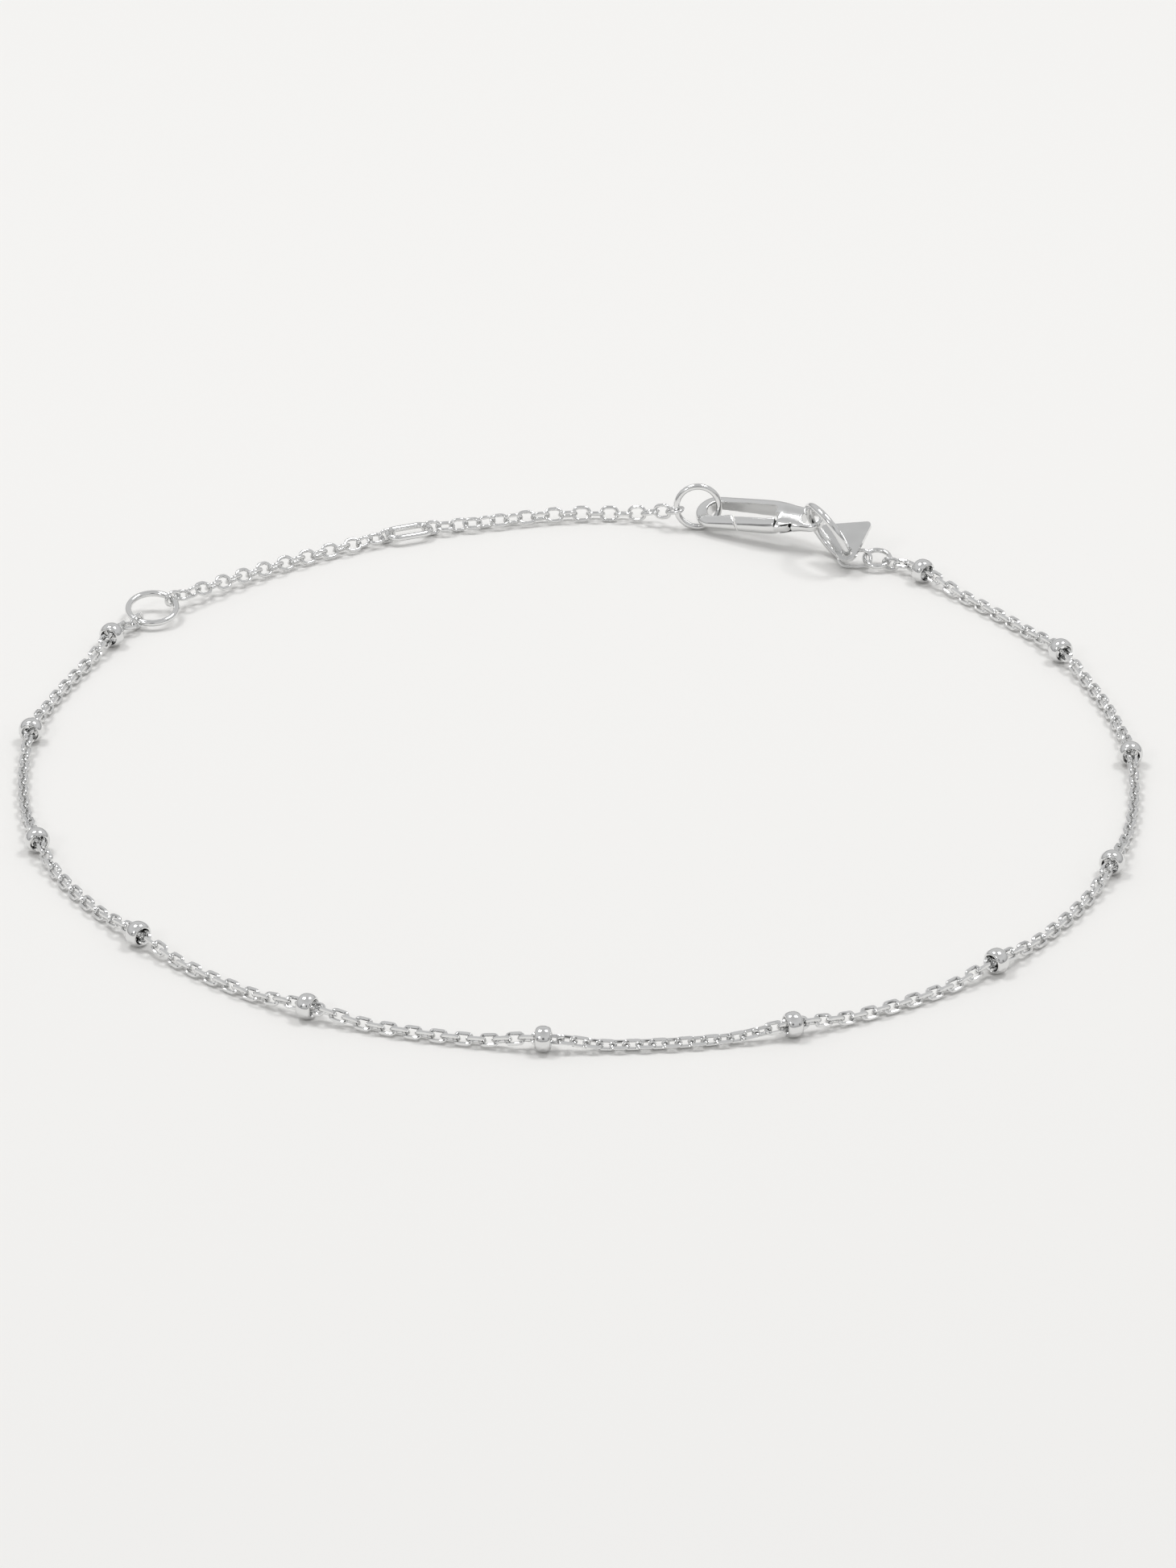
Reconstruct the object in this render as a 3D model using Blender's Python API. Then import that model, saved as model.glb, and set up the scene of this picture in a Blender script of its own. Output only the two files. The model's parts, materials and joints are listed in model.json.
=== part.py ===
"""Polished silver anklet lying closed in one loop on a flat surface.

A fine cable chain carries twelve round beads. An extension chain with a middle link
lengthens it, and a lobster clasp hooks the ring at its end. A bare tag hangs on the
clasp's ring. Units are metres, +Z is up, the surface is z = 0, and -Y faces the viewer.
"""
import math

import bmesh
import bpy
import numpy as np
from mathutils import Matrix, Vector

MM = 0.001

# Fine chain
CHAIN_DIAMETER = 0.72 * MM
CHAIN_SEGMENTS_PER_GAP = 5
CHAIN_LOW = 0.43 * MM
CHAIN_LEVEL_BY_BEAD = 1.0 * MM
CHAIN_DIP_LENGTH = 4.0 * MM
ROUTE_STEPS = 24
PART_GAP = 0.11 * MM

# Beads
BEAD_DIAMETER = 1.75 * MM
BEAD_WIDTH = 1.06 * MM
BEAD_HOLE = 0.95 * MM
BEAD_SIDES = 14
BEAD_PROFILE_STEPS = 7

# Rings: outer diameter and wire
CLOSING_RING = (3.9 * MM, 0.46 * MM)
END_RING = (3.6 * MM, 0.46 * MM)
CLASP_RING = (5.15 * MM, 0.55 * MM)
CHAIN_END_RING = (2.2 * MM, 0.36 * MM)
RING_SIDES = 24
SMALL_RING_SIDES = 16
WIRE_SIDES = 8

# Oval links: length, width and wire
MIDDLE_LINK = (3.7 * MM, 2.0 * MM, 0.45 * MM)
CHAIN_END_LINK_A = (1.5 * MM, 1.2 * MM, 0.26 * MM)
CHAIN_END_LINK_B = (2.6 * MM, 1.45 * MM, 0.28 * MM)
MIDDLE_LINK_STEPS = 22
END_LINK_STEPS = 14
END_LINK_WIRE_SIDES = 6

# Extension chains
LINK_WIDTH = 1.2 * MM
LINK_WIRE = 0.26 * MM
LINK_SINK = 0.05 * MM
LINK_STEPS = 10
LINK_WIRE_SIDES = 5
LINKS_A = 21
LINKS_B = 19
SIDE_ROLL_A = math.radians(45)
ROLL_LINKS_A = 4
TWIST_B = math.radians(90)

# Places in millimetres, from a point just behind the middle of the loop's box. The fine
# chain's route goes through its beads, from the small ring by the clasp to the closing ring
BOX_MIDDLE = (0.0, -0.2, 0.0)
CHAIN_END_RING_PLACE = (21.6, 31.5, 0.75)
BEAD_PLACES = [
    (24.8, 29.2),
    (34.1, 16.4),
    (38.1, 0.6),
    (35.9, -15.3),
    (27.5, -29.0),
    (13.9, -37.5),
    (-2.3, -39.4),
    (-17.7, -35.1),
    (-29.2, -25.3),
    (-36.7, -12.1),
    (-38.1, 4.1),
    (-33.3, 18.9),
]
CLOSING_RING_PLACE = (-30.6, 23.0, 0.93)
MIDDLE_LINK_PLACE = (-12.5, 36.2, 0.62)
EXTENSION_A_BEND = (-21.6, 30.8, 0.62)
EXTENSION_B_BENDS = [
    (-1.8, 39.0, 0.63),
    (3.6, 39.2, 0.64),
]
CLASP_RING_PLACE = (18.0, 32.45, 2.38)

# Directions
CLOSING_RING_TILT = math.radians(12)
MIDDLE_LINK_HEADING = math.radians(22)
END_RING_LEAN = math.radians(85)
# End ring's centre, seen from the tip of the clasp's nose
END_RING_FROM_NOSE = (0.03 * MM, -0.55 * MM, 0.61 * MM)
CHAIN_LEAVES_END_RING = math.radians(190)
CLASP_RING_LEVEL = Vector((0.483, -0.876, 0))
CLASP_RING_LEAN = math.radians(65)
CHAIN_END_RING_TILT = math.radians(14)

# Places on the clasp ring, as angles from its level direction
TAG_ON_RING = math.radians(-24)
LINK_ON_RING = math.radians(-55)

# Clasp, in its own frame: the tail eye's centre is the origin, +X runs to the nose
CLASP_LENGTH = 9.3 * MM
CLASP_NOSE_RADIUS = 1.4 * MM
CLASP_TAIL_RADIUS = 1.0 * MM
CLASP_TAPER = (0.4 * MM, 3.6 * MM)
CLASP_THICKNESS = (
    (-1.0 * MM, 0.84 * MM),
    (0.6 * MM, 0.90 * MM),
    (2.2 * MM, 1.50 * MM),
    (4.5 * MM, 1.40 * MM),
    (CLASP_LENGTH - 1.15 * MM, 1.00 * MM),
    (CLASP_LENGTH + 0.05 * MM, 0.90 * MM),
)
CLASP_YAW = math.radians(153.7)
CLASP_PITCH = math.radians(7.5)
CLASP_ROLL = math.radians(26)
CLASP_SIDES = 16
CLASP_CAP_STEPS = 4
CLASP_MIDDLE_STEPS = 8
CLASP_SQUARENESS = 2.6
TAIL_HOLE_RADIUS = 0.66 * MM
EYE_NOSE = (CLASP_LENGTH - 1.65 * MM, 0.0, 0.68 * MM)
EYE_THROAT = (3.1 * MM, -0.2 * MM, 0.42 * MM)
EYE_STEPS = 8

# Lever and the gate that it closes, in the clasp's frame
PIVOT = (1.9 * MM, 0.62 * MM)
PIN_RADIUS = 0.18 * MM
PIN_HALF_LENGTH = 0.55 * MM
BORE_GAP = 0.11 * MM
KNUCKLE_RADIUS = 0.46 * MM
KNUCKLE_REACH = (2.95 * MM, 0.98 * MM)
KNUCKLE_REACH_RADIUS = 0.3 * MM
KNUCKLE_THICKNESS = 0.6 * MM
SLOT_RADIUS = 0.72 * MM
BLADE_HEEL_X = 2.56 * MM
BLADE_WIDTH = 0.74 * MM
BLADE_TIP_X = CLASP_LENGTH - 3.4 * MM
TIP_SLANT = 0.5
GATE_GAP = 0.12 * MM
GATE_HEEL_X = 2.36 * MM
GATE_DEPTH_Y = 0.1 * MM
ROUND_STEPS = 12

# Tag
TAG_WIDTH = 3.6 * MM
TAG_HEIGHT = 3.15 * MM
TAG_THICKNESS = 0.35 * MM
TAG_CORNER_RADIUS = 0.28 * MM
TAG_TIP_RADIUS = 0.72 * MM
TAG_HOLE_RADIUS = 0.43 * MM
TAG_CORNER_STEPS = 5

SILVER = (0.86, 0.86, 0.85, 1.0)
SILVER_ROUGHNESS = 0.12
SHARP_ANGLE = math.radians(50)
UP = Vector((0, 0, 1))
ALONG_X = Vector((1, 0, 0))


def clear_scene():
    """Removes every object of the scene."""
    for obj in list(bpy.data.objects):
        bpy.data.objects.remove(obj, do_unlink=True)


def silver(name):
    """Makes the polished silver of one sub-part."""
    material = bpy.data.materials.new(name)
    material.use_nodes = True
    shader = material.node_tree.nodes["Principled BSDF"]
    shader.inputs["Base Color"].default_value = SILVER
    shader.inputs["Metallic"].default_value = 1.0
    shader.inputs["Roughness"].default_value = SILVER_ROUGHNESS
    return material


def at_mm(place):
    """Turns a place in millimetres into metres from the middle of the loop's box."""
    return (Vector(place) - Vector(BOX_MIDDLE[:len(place)])) * MM


def level(angle):
    """Gives the level unit vector of a heading."""
    return Vector((math.cos(angle), math.sin(angle), 0))


def frame_at(origin, x_axis, y_hint):
    """Gives the matrix with its X along x_axis and its Y as near as may be to y_hint."""
    x = x_axis.normalized()
    z = x.cross(y_hint).normalized()
    y = z.cross(x)
    turn = Matrix((x, y, z)).transposed().to_4x4()
    return Matrix.Translation(origin) @ turn


def shade(mesh):
    """Shades a mesh smooth, with its sharp edges kept."""
    mesh.shade_smooth()
    mesh.set_sharp_from_angle(angle=SHARP_ANGLE)


def mesh_from(bm, name):
    """Turns a bmesh into a shaded mesh with its faces outwards."""
    bmesh.ops.recalc_face_normals(bm, faces=bm.faces)
    mesh = bpy.data.meshes.new(name)
    bm.to_mesh(mesh)
    bm.free()
    shade(mesh)
    return mesh


def add_object(name, mesh, matrix=None):
    """Puts a mesh into the scene as one object with its own silver."""
    obj = bpy.data.objects.new(name, mesh)
    bpy.context.scene.collection.objects.link(obj)
    mesh.materials.clear()
    mesh.materials.append(silver(name))
    if matrix is not None:
        obj.matrix_world = matrix
    return obj


def bridge(bm, near, far):
    """Joins two rows of corners with a band of faces."""
    count = len(near)
    for k in range(count):
        after = (k + 1) % count
        bm.faces.new((near[k], near[after], far[after], far[k]))


def swept_loop(name, path, wire, sides):
    """Sweeps a round wire along a flat closed path in the XY plane."""
    bm = bmesh.new()
    rows = []
    for i, (x, y) in enumerate(path):
        ahead = Vector(path[(i + 1) % len(path)])
        behind = Vector(path[i - 1])
        along = (ahead - behind).normalized()
        out = Vector((along.y, -along.x, 0))
        row = []
        for k in range(sides):
            turn = 2 * math.pi * (k + 0.5) / sides
            offset = out * math.cos(turn) + UP * math.sin(turn)
            row.append(bm.verts.new(Vector((x, y, 0)) + offset * wire / 2))
        rows.append(row)
    for i, row in enumerate(rows):
        bridge(bm, rows[i - 1], row)
    return mesh_from(bm, name)


def circle(centre, radius, steps):
    """Gives the outline of a circle."""
    turns = [2 * math.pi * i / steps for i in range(steps)]
    return [(centre[0] + radius * math.cos(t), centre[1] + radius * math.sin(t))
            for t in turns]


def ring_radius(ring):
    """Gives the radius of a ring's centre line."""
    diameter, wire = ring
    return (diameter - wire) / 2


def build_ring(name, ring, matrix, sides=RING_SIDES):
    """Makes one closed round ring."""
    path = circle((0, 0), ring_radius(ring), sides)
    add_object(name, swept_loop(name, path, ring[1], WIRE_SIDES), matrix)


def oval_path(length, width, steps):
    """Gives a link's centre line: two half circles joined by straight sides."""
    radius = width / 2
    straight = length / 2 - radius
    half = steps // 2
    path = []
    for end in (1, -1):
        for i in range(half):
            turn = -math.pi / 2 + math.pi * i / (half - 1)
            path.append((end * (straight + radius * math.cos(turn)),
                         end * radius * math.sin(turn)))
    return path


def link_mesh(name, link, steps, wire_sides):
    """Makes one oval link, lying flat with its length along X."""
    length, width, wire = link
    return swept_loop(name, oval_path(length - wire, width - wire, steps), wire,
                      wire_sides)


def smooth_curve(points, steps):
    """Reads a smooth curve through points, with steps samples in each gap."""
    whole = [2 * points[0] - points[1], *points, 2 * points[-1] - points[-2]]
    curve = []
    for a, b, c, d in zip(whole, whole[1:], whole[2:], whole[3:]):
        for i in range(steps):
            t = i / steps
            curve.append(0.5 * (2 * b + (c - a) * t + (2 * a - 5 * b + 4 * c - d) * t ** 2
                                + (3 * b - a - 3 * c + d) * t ** 3))
    curve.append(points[-1])
    return curve


def lengths_along(curve):
    """Gives the length along a curve at each of its points."""
    steps = [(b - a).length for a, b in zip(curve, curve[1:])]
    return np.concatenate([[0.0], np.cumsum(steps)])


def point_along(curve, lengths, at):
    """Gives the place at a length along a curve."""
    axes = np.array([list(p) for p in curve])
    return Vector([np.interp(at, lengths, axes[:, k]) for k in range(axes.shape[1])])


def smooth_share(value, low, high):
    """Gives a share from 0 to 1 that eases in and out between two values."""
    share = min(max((value - low) / (high - low), 0.0), 1.0)
    return share * share * (3 - 2 * share)


def boolean(obj, other, operation):
    """Joins, cuts or trims an object by another, which is used up."""
    modifier = obj.modifiers.new(operation.lower(), "BOOLEAN")
    modifier.operation = operation
    modifier.object = other
    modifier.solver = "EXACT"
    depsgraph = bpy.context.evaluated_depsgraph_get()
    mesh = bpy.data.meshes.new_from_object(obj.evaluated_get(depsgraph))
    obj.modifiers.clear()
    obj.data = mesh
    bpy.data.objects.remove(other, do_unlink=True)
    shade(mesh)


def prism(name, outline, half_height):
    """Extrudes an outline to both sides of the XY plane."""
    bm = bmesh.new()
    low = [bm.verts.new((x, y, -half_height)) for x, y in outline]
    high = [bm.verts.new((x, y, half_height)) for x, y in outline]
    bridge(bm, low, high)
    bm.faces.new(low)
    bm.faces.new(high)
    return add_object(name, mesh_from(bm, name))


def round_hull(centre_a, radius_a, centre_b, radius_b, steps):
    """Gives the outline of two circles with the straight sides that touch both."""
    a, b = Vector(centre_a), Vector(centre_b)
    apart = b - a
    heading = math.atan2(apart.y, apart.x)
    spread = math.acos((radius_a - radius_b) / apart.length)
    outline = []
    for centre, radius, start, sweep in (
            (b, radius_b, -spread, 2 * spread),
            (a, radius_a, spread, 2 * math.pi - 2 * spread)):
        for i in range(steps):
            turn = heading + start + sweep * i / (steps - 1)
            outline.append((centre.x + radius * math.cos(turn),
                            centre.y + radius * math.sin(turn)))
    return outline


def bead_mesh():
    """Turns one bead about X: a plain round outer side and a plain hole."""
    hole = BEAD_HOLE / 2
    side = (BEAD_DIAMETER / 2 - hole) / 2
    bm = bmesh.new()
    profile = [(-0.3 * BEAD_WIDTH, hole), (0.3 * BEAD_WIDTH, hole)]
    for i in range(BEAD_PROFILE_STEPS):
        turn = math.pi * i / (BEAD_PROFILE_STEPS - 1)
        profile.append((BEAD_WIDTH / 2 * math.cos(turn),
                        hole + 0.6 * side + (2 - 0.6) * side * math.sin(turn)))
    rows = []
    for i in range(BEAD_SIDES):
        turn = 2 * math.pi * (i + 0.5) / BEAD_SIDES
        rows.append([bm.verts.new((x, r * math.cos(turn), r * math.sin(turn)))
                     for x, r in profile])
    for i, row in enumerate(rows):
        bridge(bm, rows[i - 1], row)
    return mesh_from(bm, "bead")


def chain_end_vectors():
    """Gives the level directions in which the fine chain leaves its two rings."""
    first = at_mm(BEAD_PLACES[0]) - at_mm(CHAIN_END_RING_PLACE[:2])
    last = at_mm(BEAD_PLACES[-1]) - at_mm(CLOSING_RING_PLACE[:2])
    return first.normalized(), last.normalized()


def closing_ring_matrix():
    """Gives the closing ring's place, tilted with its far side up."""
    lean = Vector((0, math.cos(CLOSING_RING_TILT), math.sin(CLOSING_RING_TILT)))
    return frame_at(at_mm(CLOSING_RING_PLACE), ALONG_X, lean)


def chain_end_ring_matrix():
    """Gives the place of the small ring beside the clasp."""
    lean = Vector((0, math.cos(CHAIN_END_RING_TILT), math.sin(CHAIN_END_RING_TILT)))
    return frame_at(at_mm(CHAIN_END_RING_PLACE), ALONG_X, lean)


def point_on_ring(matrix, ring, towards):
    """Gives the place on a ring's centre line that is nearest to a direction."""
    local = matrix.to_3x3().inverted() @ towards.to_3d()
    local.z = 0
    return matrix @ (local.normalized() * ring_radius(ring))


def end_link_a_matrix():
    """Gives the place of the fine chain's last link, upright on the closing ring."""
    matrix = closing_ring_matrix()
    way = chain_end_vectors()[1].to_3d()
    length, _, wire = CHAIN_END_LINK_A
    crossing = point_on_ring(matrix, CLOSING_RING, way)
    inset = CLOSING_RING[1] / 2 + PART_GAP + wire
    return frame_at(crossing + way * (length / 2 - inset), way, UP)


def fine_chain_points():
    """Gives the fine chain's points: level at a bead and lying low between two."""
    first_way, last_way = chain_end_vectors()
    ring_half = CHAIN_END_RING[0] / 2
    start = at_mm(CHAIN_END_RING_PLACE[:2]) + first_way * (ring_half + PART_GAP)
    link = end_link_a_matrix()
    stop = link @ Vector((CHAIN_END_LINK_A[0] / 2 + PART_GAP, 0, 0))
    plan = [start] + [at_mm(p) for p in BEAD_PLACES] + [stop.xy]
    curve = smooth_curve(plan, ROUTE_STEPS)
    high = BEAD_DIAMETER / 2
    end_heights = {0: at_mm(CHAIN_END_RING_PLACE).z * 0.85, len(BEAD_PLACES): stop.z}
    points = []
    for gap in range(len(plan) - 1):
        stretch = curve[gap * ROUTE_STEPS:(gap + 1) * ROUTE_STEPS + 1]
        lengths = lengths_along(stretch)
        begin = 0.0 if gap == 0 else CHAIN_LEVEL_BY_BEAD
        finish = lengths[-1] - (0.0 if gap == len(BEAD_PLACES) else CHAIN_LEVEL_BY_BEAD)
        segments = 2 if gap in end_heights else CHAIN_SEGMENTS_PER_GAP
        for i in range(segments + 1):
            at = begin + (finish - begin) * i / segments
            from_bead = min(at, lengths[-1] - at) - CHAIN_LEVEL_BY_BEAD
            height = high + (CHAIN_LOW - high) * smooth_share(from_bead, 0, CHAIN_DIP_LENGTH)
            if gap in end_heights:
                share = i / segments if gap else 1 - i / segments
                height = high + (end_heights[gap] - high) * share
            points.append(point_along(stretch, lengths, at).to_3d() + UP * height)
    return points, curve


def build_fine_chain():
    """Makes the fine chain's round stand-in through its beads."""
    points, _ = fine_chain_points()
    curve = bpy.data.curves.new("main_chain", "CURVE")
    curve.dimensions = "3D"
    curve.bevel_depth = CHAIN_DIAMETER / 2
    curve.bevel_resolution = 2
    curve.use_fill_caps = True
    spline = curve.splines.new("POLY")
    spline.points.add(len(points) - 1)
    for knot, point in zip(spline.points, points):
        knot.co = (*point, 1.0)
    obj = bpy.data.objects.new("main_chain", curve)
    bpy.context.scene.collection.objects.link(obj)
    curve.materials.append(silver("main_chain"))


def build_beads():
    """Makes the beads, each square to the chain that runs through it."""
    _, curve = fine_chain_points()
    for i, place in enumerate(BEAD_PLACES):
        knot = (i + 1) * ROUTE_STEPS
        way = (curve[knot + 1] - curve[knot - 1]).to_3d()
        centre = at_mm(place).to_3d() + UP * BEAD_DIAMETER / 2
        add_object(f"bead_{i + 1:02d}", bead_mesh(), frame_at(centre, way, UP))


def build_link_chain(name, start, bends, end, count, rolls):
    """Makes a run of interlocked oval links between two crossings, as one body."""
    curve = smooth_curve([start, *bends, end], ROUTE_STEPS)
    lengths = lengths_along(curve)
    hold = END_RING[1] / 2 + PART_GAP + LINK_WIRE
    pitch = (lengths[-1] + 2 * hold - 2 * LINK_WIRE + LINK_SINK) / count
    link = (pitch + 2 * LINK_WIRE - LINK_SINK, LINK_WIDTH, LINK_WIRE)
    single = link_mesh(name, link, LINK_STEPS, LINK_WIRE_SIDES)
    halves = [bmesh.new(), bmesh.new()]
    for i in range(count):
        at = link[0] / 2 - hold + pitch * i
        centre = point_along(curve, lengths, at)
        way = point_along(curve, lengths, at + pitch / 2)
        way -= point_along(curve, lengths, at - pitch / 2)
        turn = Matrix.Rotation(rolls[i], 4, "X")
        copy = single.copy()
        copy.transform(frame_at(centre, way, UP) @ turn)
        halves[i % 2].from_mesh(copy)
        bpy.data.meshes.remove(copy)
    bpy.data.meshes.remove(single)
    chain = add_object(name, mesh_from(halves[0], name))
    others = add_object(name + "_others", mesh_from(halves[1], name))
    boolean(chain, others, "UNION")
    chain.data.materials.clear()
    chain.data.materials.append(silver(name))


def middle_link_matrix():
    """Gives the middle link's place, lying level."""
    way = level(MIDDLE_LINK_HEADING)
    return frame_at(at_mm(MIDDLE_LINK_PLACE), way, UP.cross(way))


def end_ring_matrix():
    """Gives the end ring's place in the clasp's hook, leaning a little back."""
    nose = clasp_matrix() @ Vector((CLASP_LENGTH, 0, 0))
    lean = Vector((0, math.cos(END_RING_LEAN), math.sin(END_RING_LEAN)))
    return frame_at(nose + Vector(END_RING_FROM_NOSE), ALONG_X, lean)


def build_extension():
    """Makes both stretches of the extension and the middle link between them."""
    middle = middle_link_matrix()
    mesh = link_mesh("middle_link", MIDDLE_LINK, MIDDLE_LINK_STEPS, WIRE_SIDES)
    add_object("middle_link", mesh, middle)
    reach = Vector(((MIDDLE_LINK[0] - MIDDLE_LINK[2]) / 2, 0, 0))
    bend = at_mm(EXTENSION_A_BEND)
    start = point_on_ring(closing_ring_matrix(), CLOSING_RING,
                          bend - at_mm(CLOSING_RING_PLACE))
    rolls = []
    for i in range(LINKS_A):
        side = min(1.0, i / ROLL_LINKS_A, (LINKS_A - 1 - i) / ROLL_LINKS_A)
        rolls.append(math.pi / 2 * i + SIDE_ROLL_A * side)
    build_link_chain("extension_chain_a", start, [bend], middle @ -reach, LINKS_A, rolls)
    ring = end_ring_matrix()
    stop = point_on_ring(ring, END_RING, ring.to_3x3() @ level(CHAIN_LEAVES_END_RING))
    rolls = [math.pi / 2 * i + TWIST_B * i / (LINKS_B - 1) for i in range(LINKS_B)]
    bends = [at_mm(p) for p in EXTENSION_B_BENDS]
    build_link_chain("extension_chain_b", middle @ reach, bends, stop, LINKS_B, rolls)


def clasp_ring_matrix():
    """Gives the clasp ring's place, leaning to the viewer's left."""
    side = CLASP_RING_LEVEL.cross(UP)
    lean = side * math.cos(CLASP_RING_LEAN) + UP * math.sin(CLASP_RING_LEAN)
    return frame_at(at_mm(CLASP_RING_PLACE), CLASP_RING_LEVEL, lean)


def clasp_matrix():
    """Gives the clasp's place: its eye round the clasp ring, its face rolled to the front."""
    crossing = clasp_ring_matrix() @ Vector((-ring_radius(CLASP_RING), 0, 0))
    way = level(CLASP_YAW) * math.cos(CLASP_PITCH) - UP * math.sin(CLASP_PITCH)
    return frame_at(crossing, way, UP.cross(way)) @ Matrix.Rotation(-CLASP_ROLL, 4, "X")


def clasp_half_width(x):
    """Gives half the clasp's width at a place along its middle."""
    share = smooth_share(x, *CLASP_TAPER)
    return CLASP_TAIL_RADIUS + (CLASP_NOSE_RADIUS - CLASP_TAIL_RADIUS) * share


def clasp_sections():
    """Gives the clasp's sections from tail to nose as (x, half width, half height)."""
    places = [x for x, _ in CLASP_THICKNESS]
    heights = [t / 2 for _, t in CLASP_THICKNESS]
    nose_x = CLASP_LENGTH - CLASP_NOSE_RADIUS
    sections = []
    for i in range(1, CLASP_CAP_STEPS + 1):
        turn = math.pi / 2 * i / CLASP_CAP_STEPS
        sections.append((-CLASP_TAIL_RADIUS * math.cos(turn), math.sin(turn)))
    for i in range(1, CLASP_MIDDLE_STEPS):
        sections.append((nose_x * i / CLASP_MIDDLE_STEPS, 1.0))
    for i in range(CLASP_CAP_STEPS, 0, -1):
        turn = math.pi / 2 * i / CLASP_CAP_STEPS
        sections.append((nose_x + CLASP_NOSE_RADIUS * math.cos(turn), math.sin(turn)))
    return [(x, clasp_half_width(x) * cap, np.interp(x, places, heights) * cap ** 0.4)
            for x, cap in sections]


def clasp_blank(name):
    """Lofts the clasp's whole rounded outside, without its holes."""
    bm = bmesh.new()
    rows = []
    for x, half_width, half_height in clasp_sections():
        row = []
        for k in range(CLASP_SIDES):
            turn = 2 * math.pi * (k + 0.5) / CLASP_SIDES
            y, z = math.cos(turn), math.sin(turn)
            power = 2 / CLASP_SQUARENESS
            row.append(bm.verts.new((x, half_width * math.copysign(abs(y) ** power, y),
                                     half_height * math.copysign(abs(z) ** power, z))))
        rows.append(row)
    for near, far in zip(rows, rows[1:]):
        bridge(bm, near, far)
    for x, row in ((-CLASP_TAIL_RADIUS, rows[0]), (CLASP_LENGTH, rows[-1])):
        pole = bm.verts.new((x, 0, 0))
        for k in range(CLASP_SIDES):
            bm.faces.new((pole, row[k - 1], row[k]))
    return add_object(name, mesh_from(bm, name))


def gate_outline(heel_x, inner_y, tip_x):
    """Gives the plan of the clasp's gate, open to the outside, with a slanted tip."""
    outer_y = 1.5 * CLASP_NOSE_RADIUS
    slant = TIP_SLANT * (outer_y - inner_y)
    return [(heel_x, inner_y), (tip_x, inner_y), (tip_x - slant, outer_y),
            (heel_x, outer_y)]


def build_clasp_body():
    """Makes the clasp's frame: hook, arm, forked shoulder with its pin, and tail eye."""
    deep = CLASP_NOSE_RADIUS
    body = clasp_blank("clasp_body")
    eye = round_hull(EYE_THROAT[:2], EYE_THROAT[2], EYE_NOSE[:2], EYE_NOSE[2], EYE_STEPS)
    inner_y = clasp_half_width(BLADE_TIP_X) - BLADE_WIDTH
    tip_x = BLADE_TIP_X + GATE_GAP + TIP_SLANT * (inner_y - GATE_DEPTH_Y)
    gate = gate_outline(GATE_HEEL_X, GATE_DEPTH_Y, tip_x)
    tail = circle((0, 0), TAIL_HOLE_RADIUS, ROUND_STEPS)
    for name, outline in (("eye", eye), ("gate", gate), ("tail_hole", tail)):
        boolean(body, prism(name, outline, deep), "DIFFERENCE")
    out = (PIVOT[0] + SLOT_RADIUS, PIVOT[1] + deep)
    slot = round_hull(PIVOT, SLOT_RADIUS, out, SLOT_RADIUS, EYE_STEPS)
    boolean(body, prism("slot", slot, KNUCKLE_THICKNESS / 2 + PART_GAP), "DIFFERENCE")
    pin = prism("pin", circle(PIVOT, PIN_RADIUS, ROUND_STEPS), PIN_HALF_LENGTH)
    boolean(body, pin, "UNION")
    body.data.materials.clear()
    body.data.materials.append(silver("clasp_body"))
    body.matrix_world = clasp_matrix()


def build_lever():
    """Makes the clasp's lever, with its origin on the pin's axis."""
    lever = clasp_blank("clasp_lever")
    steps = 5
    inner = []
    for i in range(steps):
        x = BLADE_HEEL_X + (BLADE_TIP_X - BLADE_HEEL_X) * i / (steps - 1)
        inner.append((x, clasp_half_width(x) - BLADE_WIDTH))
    far_y = 1.5 * CLASP_NOSE_RADIUS
    outer = [(BLADE_TIP_X - TIP_SLANT * (far_y - inner[-1][1]), far_y),
             (BLADE_HEEL_X, far_y)]
    blade = prism("blade", inner + outer, CLASP_NOSE_RADIUS)
    boolean(lever, blade, "INTERSECT")
    knuckle = round_hull(PIVOT, KNUCKLE_RADIUS, KNUCKLE_REACH, KNUCKLE_REACH_RADIUS,
                         EYE_STEPS)
    boolean(lever, prism("knuckle", knuckle, KNUCKLE_THICKNESS / 2), "UNION")
    bore = circle(PIVOT, PIN_RADIUS + BORE_GAP, ROUND_STEPS)
    boolean(lever, prism("bore", bore, KNUCKLE_THICKNESS), "DIFFERENCE")
    lever.data.materials.clear()
    lever.data.materials.append(silver("clasp_lever"))
    pivot = Vector((*PIVOT, 0))
    lever.data.transform(Matrix.Translation(-pivot))
    lever.matrix_world = clasp_matrix() @ Matrix.Translation(pivot)


def on_clasp_ring(angle):
    """Gives a place on the clasp ring's centre line and the wire's direction there."""
    matrix = clasp_ring_matrix()
    place = matrix @ (level(angle) * ring_radius(CLASP_RING))
    return place, matrix.to_3x3() @ level(angle + math.pi / 2)


def build_chain_end_link_b():
    """Makes the link between the clasp ring and the fine chain's small ring."""
    place, wire_way = on_clasp_ring(LINK_ON_RING)
    length, _, wire = CHAIN_END_LINK_B
    target = at_mm(CHAIN_END_RING_PLACE)
    way = (target - place).normalized()
    inset = CLASP_RING[1] / 2 + PART_GAP + wire
    centre = place + way * (length / 2 - inset)
    mesh = link_mesh("chain_end_link_b", CHAIN_END_LINK_B, END_LINK_STEPS,
                     END_LINK_WIRE_SIDES)
    add_object("chain_end_link_b", mesh, frame_at(centre, way, wire_way.cross(way)))


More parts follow.
